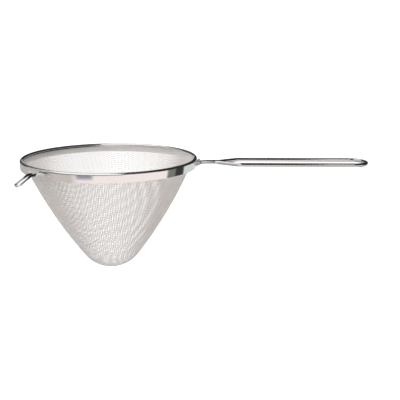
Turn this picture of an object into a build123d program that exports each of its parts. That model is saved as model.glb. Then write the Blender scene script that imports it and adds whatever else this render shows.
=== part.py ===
# A chinois strainer: a fine mesh cone in a roll-formed rim, with a long wire handle and a pan hook.
# Millimetres, +Z up. The origin is the centre of the mouth, level with the top of the rim.
# The handle points along +X, and the hook stands off the rim on the -X, -Y side.

import math
import os

from build123d import *

os.makedirs("parts", exist_ok=True)

# Rim: one strip of sheet, with an upright skirt and a top edge that is rolled inward and under
rim_radius = 90.0
rim_sheet = 0.6
rim_height = 9.4
roll_radius = 1.9
roll_turn = 235.0
strip_edge_round_share = 0.35

# Core wire that the top edge is rolled over
hoop_clearance = 0.3

# Mesh basket: its thickness is two crossing wires, one over the other
mesh_thickness = 0.8
basket_depth = 117.3
tip_radius = 35.7
tip_wall_angle = 37.2
shoulder_inset = 7.1
shoulder_depth = 9.2
shoulder_round = 5.0
hem_height = 1.7
hem_clearance = 0.1

# Openings of the mesh: the real weave is far finer, and this plain grid stands for it
wall_rows = 6
wall_columns = 20
tip_rows = 1
tip_columns = 10
tip_cap_share = 0.3
bar_share = 0.24
window_overrun = 2.0

# Handle: one bent wire, welded to the rim by two splayed feet
handle_wire = 4.0
handle_length = 176.0
handle_drop = 5.5
handle_leg_gap = 0.1
handle_foot_length = 5.0
handle_foot_bend = 3.0
neck_length = 22.0
flare_length = 20.0
flare_round = 12.0
grip_width = 30.0

# Pan hook: a bent wire loop that slopes down beyond its fold
hook_wire = 2.4
hook_azimuth = 228.5
hook_drop = 5.3
hook_leg_spacing = 5.6
hook_foot_length = 6.0
hook_foot_bend = 2.8
hook_fold_length = 8.8
hook_fold_round = 5.0
hook_slope_run = 14.4
hook_slope_fall = 7.8
hook_loop_spacing = 6.6

# Feet and weld beads of both wires
foot_gap = 0.05
wire_end_round_share = 0.3
handle_weld_length = 4.0
hook_weld_length = 4.0
weld_root_share = 0.3
weld_height_share = 1.15
weld_toe_angle = 110.0


def around(azimuth):
    """The upright plane through the rim's axis, facing along the azimuth, with its x outward and its y up."""
    angle = math.radians(azimuth)
    return Plane(
        origin=(0, 0, 0),
        x_dir=(math.cos(angle), math.sin(angle), 0),
        z_dir=(math.sin(angle), -math.cos(angle), 0),
    )


def level(drop, azimuth):
    """The level plane of a wire, below the mouth, with its x outward along the azimuth."""
    angle = math.radians(azimuth)
    return Plane(origin=(0, 0, -drop), x_dir=(math.cos(angle), math.sin(angle), 0), z_dir=(0, 0, 1))


class Foot:
    """The plan of a splayed foot: an arc along the rim and a bend that turns it outward into a leg."""

    def __init__(self, wire, leg, bend, length):
        self.leg = leg
        self.bend = bend
        self.radius = rim_radius + foot_gap + wire / 2
        self.bend_out = math.sqrt((self.radius + bend) ** 2 - (leg + bend) ** 2)
        self.start = math.degrees(math.asin((leg + bend) / (self.radius + bend)))
        self.span = math.degrees(length / self.radius)
        self.middle = self.start + self.span / 2

    def draw(self, side):
        """Draws the foot on one side, 1 or -1, in the open line, and gives where its leg starts."""
        CenterArc((0, 0), self.radius, side * self.start, side * self.span)
        CenterArc((self.bend_out, side * (self.leg + self.bend)), self.bend,
                  -side * 90, -side * (90 - self.start))
        return (self.bend_out, side * self.leg)


def weld_beads(wire, drop, azimuth, foot, length):
    """The four beads that fill the grooves above and below a wire's two feet."""
    radius = wire / 2
    toe = math.radians(weld_toe_angle)
    span = math.degrees(length / foot.radius)
    for side in (1, -1):
        start = azimuth + side * foot.middle - span / 2
        with BuildSketch(around(start)) as bead_sections:
            for up in (1, -1):
                with BuildLine():
                    Polyline(
                        (rim_radius, -drop + up * weld_root_share * radius),
                        (rim_radius, -drop + up * weld_height_share * radius),
                        (foot.radius + radius * math.cos(toe), -drop + up * radius * math.sin(toe)),
                        close=True,
                    )
                make_face()
            with Locations((foot.radius, -drop)):
                Circle(radius, mode=Mode.SUBTRACT)
        revolve(bead_sections.sketch, axis=Axis.Z, revolution_arc=-span)


def mesh_windows(line, first_share, rows, columns):
    """One column of openings, from a share of the way along the mesh's line to its end."""
    row_share = (1 - first_share) / rows
    for row in range(rows):
        corners = []
        for along, sides in ((bar_share / 2, (1, -1)), (1 - bar_share / 2, (-1, 1))):
            place = line.position_at(first_share + (row + along) * row_share)
            direction = line.tangent_at(first_share + (row + along) * row_share)
            for side in sides:
                corners.append(place + side * window_overrun * Vector(direction.Y, -direction.X))
        with BuildSketch(Plane.XZ) as window_section:
            with BuildLine():
                Polyline(*corners, close=True)
            make_face()
        revolve(window_section.sketch, axis=Axis.Z, revolution_arc=(1 - bar_share) * 360 / columns)


# The rolled edge, and the channel between its free edge and the skirt, where the folded edge of the mesh sits
roll_centre = (rim_radius - roll_radius, -roll_radius)
roll_hollow = roll_radius - rim_sheet
skirt_inside = rim_radius - rim_sheet
channel_inside = roll_centre[0] + roll_hollow * math.cos(math.radians(roll_turn))

# Rim band
with BuildPart() as rim_band:
    with BuildSketch(Plane.XZ):
        with BuildLine():
            Line((rim_radius, -rim_height), (rim_radius, -roll_radius))
            roll_outside = CenterArc(roll_centre, roll_radius, 0, roll_turn)
            roll_inside = CenterArc(roll_centre, roll_hollow, 0, roll_turn)
            Line(roll_outside @ 1, roll_inside @ 1)
            Polyline((skirt_inside, -roll_radius), (skirt_inside, -rim_height), (rim_radius, -rim_height))
        make_face()
    revolve(axis=Axis.Z)
    rings = rim_band.edges().filter_by(GeomType.CIRCLE)
    strip_edges = rings.filter_by_position(Axis.Z, -rim_height, -roll_radius, inclusive=(True, False))
    fillet(strip_edges, radius=rim_sheet * strip_edge_round_share)

# Core wire of the rolled edge
with BuildPart() as rim_hoop:
    with BuildSketch(Plane.XZ):
        with Locations(roll_centre):
            Circle(roll_hollow - hoop_clearance)
    revolve(axis=Axis.Z)

# Mesh basket: the middle line of the mesh runs from the tip up the wall, and out into the rim's channel
tip_angle = math.radians(tip_wall_angle)
tip_middle_radius = tip_radius - mesh_thickness / 2
tip_centre = Vector(0, tip_radius - basket_depth)
wall_foot = tip_centre + tip_middle_radius * Vector(math.cos(tip_angle), -math.sin(tip_angle))
shoulder = Vector(rim_radius - shoulder_inset, -shoulder_depth)
hem_top = roll_radius + roll_hollow + hem_clearance
hem_middle = (skirt_inside + channel_inside) / 2
hem_width = skirt_inside - channel_inside - 2 * hem_clearance

with BuildPart() as mesh_basket:
    with BuildSketch(Plane.XZ) as basket_section:
        with BuildLine():
            tip_line = CenterArc(tip_centre, tip_middle_radius, -90, 90 - tip_wall_angle)
            wall_line = TangentArc(wall_foot, shoulder, tangent=(math.sin(tip_angle), math.cos(tip_angle)))
            Line(shoulder, (hem_middle, -hem_top - hem_height / 2))
        trace(line_width=mesh_thickness)
        corners = basket_section.vertices().sort_by_distance(shoulder)
        fillet(corners[:2], radius=shoulder_round)
        with Locations((hem_middle, -hem_top)):
            Rectangle(hem_width, hem_height, align=(Align.CENTER, Align.MAX))
    revolve(axis=Axis.Z)

with BuildPart() as wall_windows:
    mesh_windows(wall_line, 0, wall_rows, wall_columns)

with BuildPart() as tip_windows:
    mesh_windows(tip_line, tip_cap_share, tip_rows, tip_columns)

with mesh_basket:
    with PolarLocations(0, wall_columns):
        add(wall_windows.part, mode=Mode.SUBTRACT)
    with PolarLocations(0, tip_columns):
        add(tip_windows.part, mode=Mode.SUBTRACT)

# Handle: a foot, a leg, a flare and a side of the grip on each side, joined by a half round end
handle_leg = (handle_wire + handle_leg_gap) / 2
handle_foot = Foot(handle_wire, handle_leg, handle_foot_bend, handle_foot_length)
neck_end = rim_radius + neck_length
flare_end = neck_end + flare_length
grip_end = rim_radius + handle_length - handle_wire / 2 - grip_width / 2

with BuildPart() as handle_loop:
    with BuildLine(level(handle_drop, 0)) as handle_route:
        for side in (1, -1):
            leg_start = handle_foot.draw(side)
            FilletPolyline(leg_start, (neck_end, side * handle_leg), (flare_end, side * grip_width / 2),
                           (grip_end, side * grip_width / 2), radius=flare_round)
        CenterArc((grip_end, 0), grip_width / 2, -90, 180)
    handle_wire_route = handle_route.wires()[0]
    with BuildSketch(Plane(origin=handle_wire_route @ 0, z_dir=handle_wire_route % 0)):
        Circle(handle_wire / 2)
    sweep(path=handle_wire_route)
    cut_ends = handle_loop.faces().filter_by(GeomType.PLANE).edges()
    fillet(cut_ends, radius=handle_wire * wire_end_round_share)

# Weld beads of the handle
with BuildPart() as handle_welds:
    weld_beads(handle_wire, handle_drop, 0, handle_foot, handle_weld_length)

# Pan hook: two legs that fold down and spread into a round loop
hook_leg = hook_leg_spacing / 2
hook_foot = Foot(hook_wire, hook_leg, hook_foot_bend, hook_foot_length)
hook_fold = rim_radius + hook_fold_length
slope_angle = math.atan2(hook_slope_fall, hook_slope_run)
loop_radius = hook_loop_spacing / 2
loop_tip = math.hypot(hook_slope_run, hook_slope_fall)
loop_centre = loop_tip - loop_radius
spread_angle = math.asin(loop_radius / math.hypot(loop_centre, hook_leg)) - math.atan2(hook_leg, loop_centre)


def on_slope(along, across):
    """A point of the hook's sloping end, from its place along the slope and its place across."""
    out = hook_fold + along * math.cos(slope_angle)
    return (out, across, -along * math.sin(slope_angle))


with BuildPart() as pan_hook:
    with BuildLine(level(hook_drop, hook_azimuth)) as hook_route:
        loop_joint = loop_centre - loop_radius * math.sin(spread_angle)
        loop_half_width = loop_radius * math.cos(spread_angle)
        for side in (1, -1):
            leg_start = hook_foot.draw(side)
            FilletPolyline((*leg_start, 0), (hook_fold, side * hook_leg, 0),
                           on_slope(loop_joint, side * loop_half_width), radius=hook_fold_round)
        ThreePointArc(on_slope(loop_joint, loop_half_width), on_slope(loop_tip, 0),
                      on_slope(loop_joint, -loop_half_width))
    hook_wire_route = hook_route.wires()[0]
    with BuildSketch(Plane(origin=hook_wire_route @ 0, z_dir=hook_wire_route % 0)):
        Circle(hook_wire / 2)
    sweep(path=hook_wire_route)
    cut_ends = pan_hook.faces().filter_by(GeomType.PLANE).edges()
    fillet(cut_ends, radius=hook_wire * wire_end_round_share)

# Weld beads of the hook
with BuildPart() as hook_welds:
    weld_beads(hook_wire, hook_drop, hook_azimuth, hook_foot, hook_weld_length)

pieces = {
    "rim_band": rim_band,
    "rim_hoop": rim_hoop,
    "mesh_basket": mesh_basket,
    "handle_loop": handle_loop,
    "handle_welds": handle_welds,
    "pan_hook": pan_hook,
    "hook_welds": hook_welds,
}
for name, piece in pieces.items():
    piece.part.label = name
    export_step(piece.part, f"parts/{name}.step")
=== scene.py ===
import math

import bpy
import numpy as np
from mathutils import Matrix, Vector


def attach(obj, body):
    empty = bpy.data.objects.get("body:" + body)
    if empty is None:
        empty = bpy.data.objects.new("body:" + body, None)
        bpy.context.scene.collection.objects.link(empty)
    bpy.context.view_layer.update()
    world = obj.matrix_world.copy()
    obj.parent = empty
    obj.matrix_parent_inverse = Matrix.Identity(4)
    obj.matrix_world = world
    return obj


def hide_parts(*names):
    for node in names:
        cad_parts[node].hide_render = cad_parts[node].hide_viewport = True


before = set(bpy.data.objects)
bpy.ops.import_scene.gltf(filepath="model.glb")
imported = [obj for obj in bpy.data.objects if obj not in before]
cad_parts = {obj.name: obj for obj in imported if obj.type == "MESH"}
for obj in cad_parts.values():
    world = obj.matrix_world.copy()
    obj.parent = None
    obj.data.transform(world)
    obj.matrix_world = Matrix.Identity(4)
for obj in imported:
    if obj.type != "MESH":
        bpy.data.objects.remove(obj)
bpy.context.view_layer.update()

# A chinois strainer. Places are in the part's frame, in metres: the origin is the centre of the mouth,
# +X runs along the handle and +Z points up out of the basket. Sizes follow the part's source.

MM = 0.001

# Middle surface of the mesh, as circles and lines in its upright section
TIP_RADIUS = 35.2 * MM
TIP_CENTRE = -81.5 * MM
WALL_ANGLE = math.radians(37.2)
SHOULDER = Vector((82.9, -9.2)) * MM
SHOULDER_ROUND = 5.0 * MM
MESH_EDGE = Vector((88.4, -4.15)) * MM
FLANGE_LENGTH = 120 * MM
TIP_POINTS = 400
WALL_POINTS = 1200
SHOULDER_POINTS = 40
FLANGE_POINTS = 600

# Net of the weave. It is drawn over the cone as cloth is, to a spare length past the mesh's edge, and then
# eased by a share towards even, straight rows, whose pitch is stretched a little.
PITCH = 2.1 * MM
SPARE_LENGTH = 12 * MM
RELAXED_SHARE = 0.6
STRETCH = 1.06
UNEVEN_SHARE = 0.01
UNEVEN_SEEDS = (11, 12)

# Search for each crossing of the net
SEARCH_STEPS = 8
LARGEST_TURN = 0.1
LEAST_DIVISOR = 1e-14

# Wires of the weave
WIRE_RADIUS = 0.245 * MM
WIRE_SIDES = 6
FEWEST_CROSSINGS = 3

# Folded edge of the mesh, in the rim's channel
HEM_RADII = (87.75 * MM, 88.75 * MM)
HEM_LOW = -5.0 * MM
HEM_HIGH = -3.35 * MM
HEM_HOOPS = (-4.75 * MM, -4.2 * MM, -3.65 * MM)
HEM_PITCH = 1.1 * MM

# Rim strip
RIM_RADIUS = 90.0 * MM
RIM_SHEET = 0.6 * MM
RIM_HEIGHT = 9.4 * MM
ROLL_RADIUS = 1.9 * MM
ROLL_TURN = math.radians(235)
SKIRT_LEAN = math.radians(5)
SKIRT_ARC = 0.97 * SKIRT_LEAN
RIM_STEPS = 720

# Patches, waves, grain and lines in the metals' finish
PATCH_SIZE = 9 * MM
WAVE_SIZE = 14 * MM
WAVE_DEPTH = 0.1 * MM
BUMP_STRENGTH = 0.3
GRAIN_SHADE = 0.95
PATCH_SHADE = 0.97
PATCH_POLISH = 0.75
GRAIN_ROUGHNESS = 0.5
DRAWN_LINES = (0.04, 1, 1)
ROLLED_LINES = 3 * MM

# Values of a noise between which the grain, the tinted patches and the polished patches come in
GRAIN_RANGE = (0.3, 0.7)
TINT_RANGE = (0.45, 0.75)
POLISH_RANGE = (0.25, 0.75)

# Inner face of the strip's skirt, and a painted dark reflection under the roll on the hook's side: where each
# begins and where it is full
FACE_RADIUS = RIM_RADIUS - 0.55 * RIM_SHEET
FACE_EDGE = (FACE_RADIUS, FACE_RADIUS - 0.1 * MM)
FACE_TOP = (-2.2 * ROLL_RADIUS, -2.4 * ROLL_RADIUS)
ROLL_REFLECTION_EDGE = (FACE_RADIUS - 0.4 * MM, FACE_RADIUS - ROLL_RADIUS)
ROLL_REFLECTION_TOP = (-0.9 * ROLL_RADIUS, -1.1 * ROLL_RADIUS)
ROLL_REFLECTION_SIDE = (-8 * MM, -40 * MM)
MILL_ROUGHNESS = 0.25

# Painted dark reflection on the hook's legs near the rim, and feet brushed duller after welding, by the
# distance from the rim's axis
LEG_REFLECTION_START = (93.5 * MM, 95.0 * MM)
LEG_REFLECTION_END = (105.0 * MM, 101.0 * MM)
BRUSH_FADE = 3 * MM
BRUSHED_ROUGHNESS = 0.5


def sections():
    """Closely spaced points, as rows of r and z, of the mesh's section with and without its flared edge."""
    out = np.array((math.cos(WALL_ANGLE), -math.sin(WALL_ANGLE)))
    foot = TIP_RADIUS * out + (0, TIP_CENTRE)
    chord = np.array(SHOULDER) - foot
    lean = WALL_ANGLE - math.atan2(chord[0], chord[1])
    wall_radius = np.hypot(*chord) / (2 * math.sin(lean))
    wall_centre = foot - wall_radius * out
    turns = np.linspace(-math.pi / 2, -WALL_ANGLE, TIP_POINTS)
    tip = np.stack([np.cos(turns), np.sin(turns)], 1) * TIP_RADIUS + (0, TIP_CENTRE)
    turns = np.linspace(-WALL_ANGLE, 2 * lean - WALL_ANGLE, WALL_POINTS)
    wall = wall_centre + wall_radius * np.stack([np.cos(turns), np.sin(turns)], 1)
    flange = np.array(MESH_EDGE - SHOULDER)
    flange /= np.hypot(*flange)
    # The shoulder is rounded by an arc that touches the wall and the flange
    up = np.array((math.sin(WALL_ANGLE - 2 * lean), math.cos(WALL_ANGLE - 2 * lean)))
    bend = math.acos(float(up @ flange))
    cut = SHOULDER_ROUND * math.tan(bend / 2)
    wall = wall[np.hypot(*(wall - np.array(SHOULDER)).T) > cut]
    start = np.array(SHOULDER) - cut * up
    side = np.array((up[1], -up[0]))
    turns = np.linspace(0, bend, SHOULDER_POINTS)[:, None]
    corner = start + SHOULDER_ROUND * (np.sin(turns) * up + (1 - np.cos(turns)) * side)
    past = np.linspace(0, FLANGE_LENGTH, FLANGE_POINTS)[1:, None]
    plain = np.concatenate([tip, wall[1:], wall[-1] + past * up])
    return np.concatenate([tip, wall[1:], corner, corner[-1] + past * flange]), plain


class Shell:
    """A surface of revolution, given by the points of its section."""

    def __init__(self, section):
        self.section = section
        self.along = np.concatenate([[0], np.cumsum(np.hypot(*np.diff(section, axis=0).T))])
        self.slopes = np.gradient(section, self.along, axis=0)

    def at(self, along, turn):
        """Points of the surface, with its two tangents and its outward normal."""
        r, z = (np.interp(along, self.along, column) for column in self.section.T)
        dr, dz = (np.interp(along, self.along, column) for column in self.slopes.T)
        cos, sin = np.cos(turn), np.sin(turn)
        place = np.stack([r * cos, r * sin, z], -1)
        outward = np.stack([dr * cos, dr * sin, dz], -1)
        round_it = np.stack([-r * sin, r * cos, np.zeros_like(r)], -1)
        normal = np.stack([dz * cos, dz * sin, -dr], -1)
        return place, outward, round_it, normal


def quarter_net(shell, count):
    """A quarter of the weave's crossings, each one pitch from its two earlier neighbours, as in cloth."""
    along = np.zeros((count, count))
    turn = np.zeros((count, count))
    along[:, 0] = along[0, :] = np.arange(count) * PITCH
    turn[0, :] = math.pi / 2
    place = shell.at(along, turn)[0]
    for step in range(2, 2 * count - 1):
        i = np.arange(max(1, step - count + 1), min(count, step))
        j = step - i
        a, b, c = place[i - 1, j], place[i, j - 1], place[i - 1, j - 1]
        guess = a + b - c
        s = np.interp(np.hypot(guess[:, 0], guess[:, 1]), shell.section[:, 0], shell.along)
        t = np.arctan2(guess[:, 1], guess[:, 0])
        for _ in range(SEARCH_STEPS):
            p, ds, dt, _ = shell.at(s, t)
            fa = ((p - a) ** 2).sum(1) - PITCH ** 2
            fb = ((p - b) ** 2).sum(1) - PITCH ** 2
            jas, jat = 2 * ((p - a) * ds).sum(1), 2 * ((p - a) * dt).sum(1)
            jbs, jbt = 2 * ((p - b) * ds).sum(1), 2 * ((p - b) * dt).sum(1)
            det = jas * jbt - jat * jbs
            det = np.where(np.abs(det) < LEAST_DIVISOR, LEAST_DIVISOR, det)
            s = np.clip(s - np.clip((fa * jbt - fb * jat) / det, -PITCH, PITCH), 0, shell.along[-1])
            t = t - np.clip((jas * fb - jbs * fa) / det, -LARGEST_TURN, LARGEST_TURN)
        along[i, j], turn[i, j] = s, t
        place[i, j] = shell.at(s, t)[0]
    return along, turn


def whole_net(shell, length):
    """The crossings of the whole weave, as places along the section and turns round the axis."""
    count = int(length / PITCH)
    quarter_along, quarter_turn = quarter_net(shell, count)
    i, j = np.meshgrid(np.arange(count), np.arange(count), indexing="ij")
    quarter_along += RELAXED_SHARE * (STRETCH * PITCH * np.hypot(i, j) - quarter_along)
    quarter_turn += RELAXED_SHARE * (np.arctan2(j, i) - quarter_turn)
    i, j = np.meshgrid(np.arange(1 - count, count), np.arange(1 - count, count), indexing="ij")
    along, turn = np.zeros(i.shape), np.zeros(i.shape)
    for quarter, (inside, a, b) in enumerate((
        ((i >= 0) & (j >= 0), i, j),
        ((i < 0) & (j >= 0), j, -i),
        ((i < 0) & (j < 0), -i, -j),
        ((i >= 0) & (j < 0), -j, i),
    )):
        along[inside] = quarter_along[a[inside], b[inside]]
        turn[inside] = quarter_turn[a[inside], b[inside]] + quarter * math.pi / 2
    return along, turn, (i + j) % 2


def tubes(lines, normals):
    """Points and faces of a mesh of round wires, each given by its line and the shell's normals along it."""
    points, faces, first = [], [], 0
    turns = np.arange(WIRE_SIDES) * 2 * math.pi / WIRE_SIDES
    for line, normal in zip(lines, normals):
        tangent = np.gradient(line, axis=0)
        tangent /= np.linalg.norm(tangent, axis=1)[:, None]
        across = np.cross(tangent, normal)
        across /= np.linalg.norm(across, axis=1)[:, None]
        up = np.cross(across, tangent)
        ring = np.cos(turns)[None, :, None] * across[:, None] + np.sin(turns)[None, :, None] * up[:, None]
        points.append((line[:, None] + WIRE_RADIUS * ring).reshape(-1, 3))
        count = len(line)
        start = first + np.arange(count - 1)[:, None] * WIRE_SIDES
        k = np.arange(WIRE_SIDES)[None, :]
        following = (k + 1) % WIRE_SIDES
        quads = np.stack([
            start + k,
            start + following,
            start + following + WIRE_SIDES,
            start + k + WIRE_SIDES,
        ], -1)
        faces.extend(quads.reshape(-1, 4).tolist())
        faces.append(list(range(first + WIRE_SIDES - 1, first - 1, -1)))
        last = first + (count - 1) * WIRE_SIDES
        faces.append(list(range(last, last + WIRE_SIDES)))
        first += count * WIRE_SIDES
    return np.concatenate(points), faces


def add_mesh(name, points, faces, material, node):
    """A smooth mesh piece that stands for a CAD node."""
    mesh = bpy.data.meshes.new(name)
    mesh.from_pydata(points, [], faces)
    mesh.polygons.foreach_set("use_smooth", np.ones(len(mesh.polygons), bool))
    mesh.update()
    mesh.materials.append(material)
    piece = bpy.data.objects.new(name, mesh)
    bpy.context.scene.collection.objects.link(piece)
    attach(piece, "root")
    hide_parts(node)


def uneven(place, across, seed):
    """How far each wire of one set lies from its even place, sideways, as it is in a real weave."""
    shift = np.random.default_rng(seed).normal(0, UNEVEN_SHARE, place.shape[across])
    shift = np.clip(shift, -2 * UNEVEN_SHARE, 2 * UNEVEN_SHARE)
    return np.gradient(place, axis=across) * shift.reshape((-1, 1, 1) if across == 0 else (1, -1, 1))


def weave(material):
    """The woven basket: two sets of wires that pass over and under each other, each set in two halves."""
    flared, plain = (Shell(section) for section in sections())
    length = np.interp(MESH_EDGE[0], flared.section[:, 0], flared.along) + SPARE_LENGTH
    along, turn, odd = whole_net(plain, length)
    place, _, _, normal = flared.at(along, turn)
    place = place + uneven(place, 0, UNEVEN_SEEDS[0]) + uneven(place, 1, UNEVEN_SEEDS[1])
    side = np.where(odd, 1, -1)[..., None] * WIRE_RADIUS * normal
    inside = np.hypot(place[..., 0], place[..., 1]) < MESH_EDGE[0]
    middle = along.shape[0] // 2
    halves = (("a", range(0, middle)), ("b", range(middle, along.shape[0])))
    warp = ("warp", place + side, normal, inside)
    weft = ("weft", (place - side).swapaxes(0, 1), normal.swapaxes(0, 1), inside.T)
    for set_name, centre, lie, kept in (warp, weft):
        for half, rows in halves:
            lines, normals = [], []
            for row in rows:
                held = np.flatnonzero(kept[:, row])
                for run in np.split(held, np.flatnonzero(np.diff(held) > 1) + 1):
                    if len(run) >= FEWEST_CROSSINGS:
                        lines.append(centre[run, row])
                        normals.append(lie[run, row])
            points, faces = tubes(lines, normals)
            add_mesh(f"mesh_{set_name}_{half}", points, faces, material, "mesh_basket")


def hem(material):
    """The folded edge of the mesh in the rim's channel: two layers of short upright wires and hoops."""
    lines, normals = [], []
    count = round(2 * math.pi * HEM_RADII[0] / HEM_PITCH)
    rise = np.linspace(HEM_LOW, HEM_HIGH, 2 * len(HEM_HOOPS) + 1)
    for radius in HEM_RADII:
        for k in range(count):
            turn = 2 * math.pi * k / count
            out = np.array((math.cos(turn), math.sin(turn), 0))
            weave_out = radius + WIRE_RADIUS * (-1) ** k * np.cos(np.arange(len(rise)) * math.pi / 2)
            lines.append(weave_out[:, None] * out + rise[:, None] * np.array((0, 0, 1)))
            normals.append(np.broadcast_to(out, (len(rise), 3)))
        turns = np.linspace(0, 2 * math.pi, RIM_STEPS + 1)
        out = np.stack([np.cos(turns), np.sin(turns), np.zeros(len(turns))], 1)
        for height in HEM_HOOPS:
            lines.append(radius * out + (0, 0, height))
            normals.append(out)
    points, faces = tubes(lines, normals)
    add_mesh("mesh_hem", points, faces, material, "mesh_basket")


def arc(centre, radius, start, end, count):
    """Points of an arc in the rim's section, from one angle to another."""
    turns = np.linspace(start, end, count)
    return np.array(centre) + radius * np.stack([np.cos(turns), np.sin(turns)], 1)


def rim(material):
    """The roll-formed strip: a skirt that leans in towards its foot, and a top edge rolled in and under."""
    centre = (RIM_RADIUS - ROLL_RADIUS, -ROLL_RADIUS)
    skirt_radius = (RIM_HEIGHT - ROLL_RADIUS) / math.sin(SKIRT_LEAN)
    skirt_centre = (RIM_RADIUS - skirt_radius, -ROLL_RADIUS)
    inner = ROLL_RADIUS - RIM_SHEET
    foot = RIM_SHEET / 2
    outside = arc(skirt_centre, skirt_radius, -SKIRT_ARC, 0, count=30)
    inside = arc(skirt_centre, skirt_radius - RIM_SHEET, 0, -SKIRT_ARC, count=12)
    low = (outside[0] + inside[-1]) / 2
    middle = ROLL_RADIUS - foot
    edge = (centre[0] + middle * math.cos(ROLL_TURN), centre[1] + middle * math.sin(ROLL_TURN))
    section = np.concatenate([
        outside,
        arc(centre, ROLL_RADIUS, 0, ROLL_TURN, count=56)[1:],
        arc(edge, foot, ROLL_TURN, ROLL_TURN + math.pi, count=10)[1:-1],
        arc(centre, inner, ROLL_TURN, 0, count=20),
        inside[1:],
        arc(low, foot, math.pi - SKIRT_LEAN, 2 * math.pi - SKIRT_LEAN, count=12)[1:-1],
    ])
    turns = np.arange(RIM_STEPS) * 2 * math.pi / RIM_STEPS
    points = np.stack([
        section[None, :, 0] * np.cos(turns)[:, None],
        section[None, :, 0] * np.sin(turns)[:, None],
        np.broadcast_to(section[None, :, 1], (RIM_STEPS, len(section))),
    ], -1).reshape(-1, 3)
    count = len(section)
    k = np.arange(RIM_STEPS)[:, None] * count
    following = (k + count) % (RIM_STEPS * count)
    m = np.arange(count)[None, :]
    after = (m + 1) % count
    faces = np.stack([k + m, following + m, following + after, k + after], -1).reshape(-1, 4)
    add_mesh("rim_strip", points, faces.tolist(), material, "rim_band")


class Nodes:
    """Short ways to build a node tree."""

    def __init__(self, tree):
        self.nodes, self.links = tree.nodes, tree.links

    def add(self, kind, values=None, **settings):
        """A node with its settings, and with each input linked to an output or set to a plain value."""
        node = self.nodes.new(kind)
        for name, setting in settings.items():
            setattr(node, name, setting)
        for key, value in (values or {}).items():
            if isinstance(value, bpy.types.NodeSocket):
                self.links.new(value, node.inputs[key])
            else:
                node.inputs[key].default_value = value
        return node

    def math(self, operation, *values):
        """The result of a sum on numbers."""
        return self.add("ShaderNodeMath", dict(enumerate(values)), operation=operation).outputs[0]

    def times(self, first, second):
        """One number times another."""
        return self.math("MULTIPLY", first, second)

    def fall(self, value, low, high, to_low=0.0, to_high=1.0):
        """A smooth step from one value to another."""
        ends = {"Value": value, "From Min": low, "From Max": high, "To Min": to_low, "To Max": to_high}
        return self.add("ShaderNodeMapRange", ends, interpolation_type="SMOOTHSTEP").outputs["Result"]

    def mix(self, share, first, second):
        """A blend of two colours."""
        return self.add("ShaderNodeMix", {"Factor": share, 6: first, 7: second}, data_type="RGBA").outputs[2]

    def noise(self, place, size, detail=2.0):
        """A noise whose grain has about the given size in metres."""
        values = {"Vector": place, "Scale": 1 / size, "Detail": detail}
        return self.add("ShaderNodeTexNoise", values).outputs[0]

    def bump(self, height, depth, **below):
        """A surface normal with a relief, on top of another relief where one is given."""
        values = {"Height": height, "Strength": BUMP_STRENGTH, "Distance": depth, **below}
        return self.add("ShaderNodeBump", values).outputs[0]

    def place(self):
        """The place of a point in the object's own frame."""
        return self.add("ShaderNodeTexCoord").outputs["Object"]

    def split(self, vector):
        """The three parts of a vector."""
        return self.add("ShaderNodeSeparateXYZ", {0: vector}).outputs

    def from_axis(self, x, y):
        """The distance from the rim's axis."""
        return self.math("SQRT", self.math("ADD", self.times(x, x), self.times(y, y)))


def along_wire(tree, place):
    """Stretches a pattern along the handle, as drawing lines are."""
    return tree.add("ShaderNodeVectorMath", {0: place, 1: DRAWN_LINES}, operation="MULTIPLY").outputs[0]


def round_rim(tree, place):
    """Stretches a pattern round the rim, as the lines of roll forming are."""
    x, y, z = tree.split(place)
    turn = tree.times(tree.math("ARCTAN2", y, x), ROLLED_LINES)
    return tree.add("ShaderNodeCombineXYZ", {0: tree.from_axis(x, y), 1: turn, 2: z}).outputs[0]


def opaque(colour, share=1.0):
    """A share of a colour, with its alpha."""
    return tuple(share * part for part in colour) + (1,)


def metal(name, colour, roughness, grain, depth, stretch=None, tint=None, metallic=1.0):
    """A metal with patches of tone, of polish and of tint, a fine grain and a slight waviness."""
    material = bpy.data.materials.new(name)
    material.use_nodes = True
    tree = Nodes(material.node_tree)
    place = tree.place()
    lines = stretch(tree, place) if stretch else place
    patches = tree.noise(place, PATCH_SIZE)
    fine = tree.noise(lines, grain, detail=3.0)
    waves = tree.noise(place, WAVE_SIZE, detail=1.0)
    spots = opaque(tint) if tint else opaque(colour, PATCH_SHADE)
    toned = tree.mix(tree.fall(fine, *GRAIN_RANGE), opaque(colour, GRAIN_SHADE), opaque(colour))
    toned = tree.mix(tree.fall(patches, *TINT_RANGE), toned, spots)
    polish = tree.math("ADD", tree.fall(patches, *POLISH_RANGE, PATCH_POLISH * roughness, roughness),
                       tree.fall(fine, *GRAIN_RANGE, 0.0, GRAIN_ROUGHNESS * roughness))
    relief = tree.bump(fine, depth, Normal=tree.bump(waves, WAVE_DEPTH))
    shader = tree.nodes["Principled BSDF"]
    shader.inputs["Metallic"].default_value = metallic
    tree.links.new(toned, shader.inputs["Base Color"])
    tree.links.new(polish, shader.inputs["Roughness"])
    tree.links.new(relief, shader.inputs["Normal"])
    return material


def finished(material):
    """A metal's node tree, its shader, and the outputs that now give the shader's colour and roughness."""
    tree = Nodes(material.node_tree)
    shader = tree.nodes["Principled BSDF"]
    colour, roughness = (shader.inputs[name].links[0].from_socket for name in ("Base Color", "Roughness"))
    return tree, shader, colour, roughness


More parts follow.
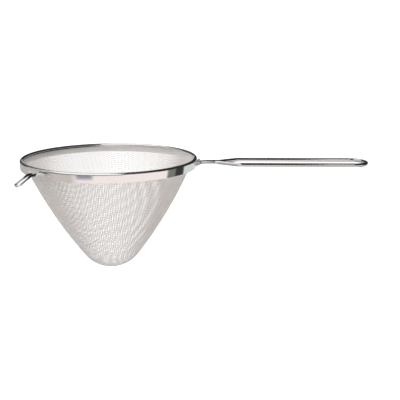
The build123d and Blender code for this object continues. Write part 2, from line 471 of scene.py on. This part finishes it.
def mill_face_and_roll_reflection(material, pale, dark):
    """Leaves the strip's inside as from the mill, pale on the skirt, and paints a dark reflection under the
    roll on the hook's side.
    """
    tree, shader, colour, roughness = finished(material)
    x, y, z = tree.split(tree.place())
    distance = tree.from_axis(x, y)
    inside = tree.times(tree.fall(distance, *FACE_EDGE), tree.fall(z, *FACE_TOP))
    # Painted dark reflection: the roll's underside, darkened towards the hook's side
    under = tree.times(tree.fall(distance, *ROLL_REFLECTION_EDGE), tree.fall(z, *ROLL_REFLECTION_TOP))
    under = tree.times(under, tree.fall(x, *ROLL_REFLECTION_SIDE))
    toned = tree.mix(inside, tree.mix(under, colour, opaque(dark)), opaque(pale))
    duller = tree.times(tree.math("MAXIMUM", inside, under), MILL_ROUGHNESS)
    tree.links.new(toned, shader.inputs["Base Color"])
    tree.links.new(tree.math("ADD", roughness, duller), shader.inputs["Roughness"])
    tree.links.new(tree.math("SUBTRACT", 1.0, inside), shader.inputs["Metallic"])


def paint_leg_reflection(material, tone):
    """Paints a dark reflection onto the hook's level legs near the rim."""
    tree, shader, colour, _ = finished(material)
    x, y, _ = tree.split(tree.place())
    distance = tree.from_axis(x, y)
    dark_reflection = tree.times(tree.fall(distance, *LEG_REFLECTION_START), tree.fall(distance, *LEG_REFLECTION_END))
    tree.links.new(tree.mix(dark_reflection, colour, opaque(tone)), shader.inputs["Base Color"])


def brush_feet(material, end):
    """Leaves a wire duller up to a distance from the axis, as a brush leaves its feet after welding."""
    tree, shader, _, roughness = finished(material)
    x, y, _ = tree.split(tree.place())
    duller = tree.times(tree.fall(tree.from_axis(x, y), end, end - BRUSH_FADE), BRUSHED_ROUGHNESS)
    tree.links.new(tree.math("ADD", roughness, duller), shader.inputs["Roughness"])


def woven_wire():
    """The drawn wire of the mesh, a little dull."""
    return metal("woven_wire", (0.92, 0.89, 0.87), roughness=0.6, grain=0.4 * MM, depth=0.005 * MM,
                 metallic=0.7)


def pressed_edge():
    """The folded edge of the mesh, flattened in the rim's channel."""
    return metal("pressed_edge", (0.95, 0.94, 0.93), roughness=0.5, grain=0.4 * MM, depth=0.005 * MM,
                 metallic=0.2)


def polished_strip():
    """The rim's strip: polished outside, as from the mill inside, with a painted dark reflection under the
    roll on the hook's side.
    """
    material = metal("polished_strip", (0.95, 0.93, 0.92), roughness=0.08, grain=0.12 * MM,
                     depth=0.0005 * MM, stretch=round_rim)
    # dark is the painted dark reflection under the roll
    mill_face_and_roll_reflection(material, pale=(1.0, 1.0, 0.99), dark=(0.1, 0.1, 0.1))
    return material


def polished_wire():
    """The handle's wire, with fine lines from drawing."""
    material = metal("polished_wire", (0.82, 0.82, 0.82), roughness=0.12, grain=0.15 * MM,
                     depth=0.001 * MM, stretch=along_wire)
    brush_feet(material, 98.5 * MM)
    return material


def satin_wire():
    """The hook's wire, with a painted dark reflection on its legs near the rim."""
    material = metal("satin_wire", (0.95, 0.95, 0.95), roughness=0.16, grain=0.15 * MM, depth=0.001 * MM)
    brush_feet(material, 94.0 * MM)
    # Painted dark reflection on the legs near the rim
    paint_leg_reflection(material, (0.1, 0.1, 0.1))
    return material


def weld_bead():
    """The weld beads, with a slight straw tint."""
    return metal("weld_bead", (0.95, 0.93, 0.91), roughness=0.5, grain=0.5 * MM, depth=0.06 * MM,
                 tint=(0.85, 0.79, 0.72), metallic=0.3)


weave(woven_wire())
hem(pressed_edge())
rim(polished_strip())

wire_metal = polished_wire()
weld_metal = weld_bead()
carried = {
    "rim_hoop": wire_metal,
    "handle_loop": wire_metal,
    "pan_hook": satin_wire(),
    "handle_welds": weld_metal,
    "hook_welds": weld_metal,
}
for node, material in carried.items():
    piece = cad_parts[node]
    piece.data.materials.clear()
    piece.data.materials.append(material)
    piece.data.polygons.foreach_set("use_smooth", [True] * len(piece.data.polygons))

# Light of the studio
LIGHT_STRENGTH = 1.3
LOW_SIDE_DIMMING = 0.95
RIGHT_DIMMING = 0.75
LOW_FRONT_LIFT = 0.2
WHITE = (1, 1, 1, 1)

# Parts of the sky, by one component of the direction to them: where each begins and where it is full
SKY_LOW = (0.3, -0.3)
SKY_HIGH = (-0.3, 0.3)
SKY_SIDES = (0.05, 0.65)
SKY_RIGHT = (0.2, 0.9)
SKY_FRONT = (0.1, -0.5)

# The tent as metal sees it. A patch is its azimuths, in degrees from the back towards the right, its
# elevations, its edges' softness and its tone. A later patch lies over an earlier one.
TENT_RADIUS = 3.0
TENT_CENTRE = (0.05, 0, 0)
TENT_PATCHES = (
    ((70, 240), (-80, -3), 4, (0.95, 0.87, 0.85)),
    ((120, 215), (-85, -60), 10, (0.6, 0.57, 0.56)),
    ((20, 118), (-85, -30), 8, (0.3, 0.29, 0.28)),
    ((-145, -20), (-85, -30), 8, (0.36, 0.345, 0.335)),
    ((-141, -95), (-40, 20), 12, (0.6, 0.545, 0.515)),
    ((-110, -20), (-60, 40), 12, (0.48, 0.475, 0.47)),
    ((-60, -15), (-2, 46), 5, (0.08, 0.08, 0.08)),
    ((-22, 0), (8, 50), 5, (0.07, 0.07, 0.07)),
    ((157, 258), (-10, 16), 3, (0.15, 0.14, 0.14)),
    ((100, 157), (0, 80), 5, (0.055, 0.055, 0.07)),
    ((-9, 112), (-6, 80), 4, (0.03, 0.03, 0.03)),
    ((62, 82), (-20, 0), 3, (0.04, 0.04, 0.04)),
    ((81, 95), (-22, -2), 3, (0.18, 0.2, 0.175)),
    ((22, 62), (-30, -3), 5, (0.66, 0.72, 0.7)),
    ((-165, -144), (-16, -7.5), 6, (0.3, 0.3, 0.36)),
)

# Black card: its left, right, near, far, low and high edges
FLAG = (0.107, 0.27, -0.25, 0.3, 0.03, 0.45)
FLAG_TONE = (0.07, 0.07, 0.07)

# Floor
FLOOR_HALF = 6
FLOOR_HEIGHT = -0.4
FLOOR_TONE = (0.97, 0.97, 0.97)
FLOOR_LIFT = 0.25


def light_world():
    """White to the camera and to mirrors. As light, it is weaker from the low sides and the upper right."""
    world = bpy.data.worlds.new("studio")
    bpy.context.scene.world = world
    world.use_nodes = True
    tree = Nodes(world.node_tree)
    x, y, z = tree.split(tree.add("ShaderNodeTexCoord").outputs["Generated"])
    low_sides = tree.times(tree.fall(tree.math("ABSOLUTE", x), *SKY_SIDES), tree.fall(z, *SKY_LOW))
    upper_right = tree.times(tree.fall(x, *SKY_RIGHT), tree.fall(z, *SKY_HIGH))
    dimmed = tree.math("ADD", tree.times(low_sides, LOW_SIDE_DIMMING), tree.times(upper_right, RIGHT_DIMMING))
    low_front = tree.times(tree.fall(y, *SKY_FRONT), tree.fall(z, *SKY_LOW))
    lifted = tree.math("MULTIPLY_ADD", low_front, LOW_FRONT_LIFT, 1.0)
    rays = tree.add("ShaderNodeLightPath").outputs
    mirrored = tree.math("MAXIMUM", rays["Is Glossy Ray"], rays["Is Transmission Ray"])
    seen = tree.math("MAXIMUM", rays["Is Camera Ray"], mirrored)
    light = tree.mix(seen, tree.math("SUBTRACT", lifted, dimmed), WHITE)
    background = tree.nodes["Background"]
    background.inputs["Strength"].default_value = LIGHT_STRENGTH
    tree.links.new(light, background.inputs["Color"])


def only_reflected(thing):
    """Hides a thing of the studio from all but reflections."""
    thing.visible_camera = False
    thing.visible_diffuse = False
    thing.visible_shadow = False
    thing.visible_transmission = False


def bare_paint(name):
    """A material with no nodes yet, and its node tree."""
    paint = bpy.data.materials.new(name)
    paint.use_nodes = True
    tree = Nodes(paint.node_tree)
    tree.nodes.clear()
    return paint, tree


def glow(tree, tone):
    """Ends a bare paint's tree, so that the paint gives off one tone."""
    light = tree.add("ShaderNodeEmission", {"Color": tone}).outputs[0]
    tree.add("ShaderNodeOutputMaterial", {"Surface": light})


def tent():
    """The studio as metal sees it: a white tent with dark and grey patches, seen only in reflections."""
    bpy.ops.mesh.primitive_uv_sphere_add(segments=64, ring_count=32, radius=TENT_RADIUS, location=TENT_CENTRE)
    dome = bpy.context.object
    dome.name = "tent"
    only_reflected(dome)
    paint, tree = bare_paint("tent")
    unit = tree.add("ShaderNodeVectorMath", {0: tree.place()}, operation="NORMALIZE").outputs[0]
    x, y, z = tree.split(unit)
    azimuth = tree.math("DEGREES", tree.math("ARCTAN2", x, y))
    elevation = tree.math("DEGREES", tree.math("ARCSINE", z))
    tone = WHITE
    for (west, east), (low, high), soft, colour in TENT_PATCHES:
        away = tree.math("WRAP", tree.math("SUBTRACT", azimuth, (west + east) / 2), 180, -180)
        half = (east - west) / 2
        mask = tree.fall(tree.math("ABSOLUTE", away), half + soft / 2, half - soft / 2)
        mask = tree.times(mask, tree.fall(elevation, low - soft / 2, low + soft / 2))
        mask = tree.times(mask, tree.fall(elevation, high + soft / 2, high - soft / 2))
        tone = tree.mix(mask, tone, opaque(colour))
    glow(tree, tone)
    dome.data.materials.append(paint)


def flag():
    """A black card over and before the handle, seen only in reflections, in the wires' upper halves."""
    left, right, near, far, low, high = FLAG
    corners = [(left, near, low), (right, near, low), (right, near, high), (left, near, high),
               (right, far, high), (left, far, high)]
    mesh = bpy.data.meshes.new("flag")
    mesh.from_pydata(corners, [], [(0, 1, 2, 3), (3, 2, 4, 5)])
    card = bpy.data.objects.new("flag", mesh)
    bpy.context.scene.collection.objects.link(card)
    only_reflected(card)
    paint, tree = bare_paint("flag")
    glow(tree, opaque(FLAG_TONE))
    mesh.materials.append(paint)


def lay_floor():
    """The pale floor. It gives off a little light, to the camera only, to be as white as the world."""
    half = FLOOR_HALF
    mesh = bpy.data.meshes.new("floor")
    mesh.from_pydata([(-half, -half, 0), (half, -half, 0), (half, half, 0), (-half, half, 0)], [],
                     [(0, 1, 2, 3)])
    floor = bpy.data.objects.new("floor", mesh)
    bpy.context.scene.collection.objects.link(floor)
    floor.location.z = FLOOR_HEIGHT
    paint = bpy.data.materials.new("floor")
    paint.use_nodes = True
    tree = Nodes(paint.node_tree)
    shader = tree.nodes["Principled BSDF"]
    shader.inputs["Base Color"].default_value = opaque(FLOOR_TONE)
    shader.inputs["Roughness"].default_value = 1.0
    shader.inputs["Specular IOR Level"].default_value = 0.0
    shader.inputs["Emission Color"].default_value = WHITE
    seen = tree.add("ShaderNodeLightPath").outputs["Is Camera Ray"]
    tree.links.new(tree.times(seen, FLOOR_LIFT), shader.inputs["Emission Strength"])
    mesh.materials.append(paint)
    floor.visible_glossy = False
    floor.visible_diffuse = False


def set_camera():
    """The camera, fitted to the photograph."""
    data = bpy.data.cameras.new("camera")
    data.sensor_width = 36
    data.lens = 63
    camera = bpy.data.objects.new("camera", data)
    bpy.context.scene.collection.objects.link(camera)
    camera.matrix_world = Matrix((
        (1.0, -0.004, 0.0, 0.0932),
        (0.0009, 0.2331, -0.9724, -0.7105),
        (0.0039, 0.9724, 0.2331, 0.1246),
        (0, 0, 0, 1),
    ))
    bpy.context.scene.camera = camera


light_world()
tent()
flag()
lay_floor()
set_camera()
bpy.context.scene.view_settings.view_transform = "Standard"
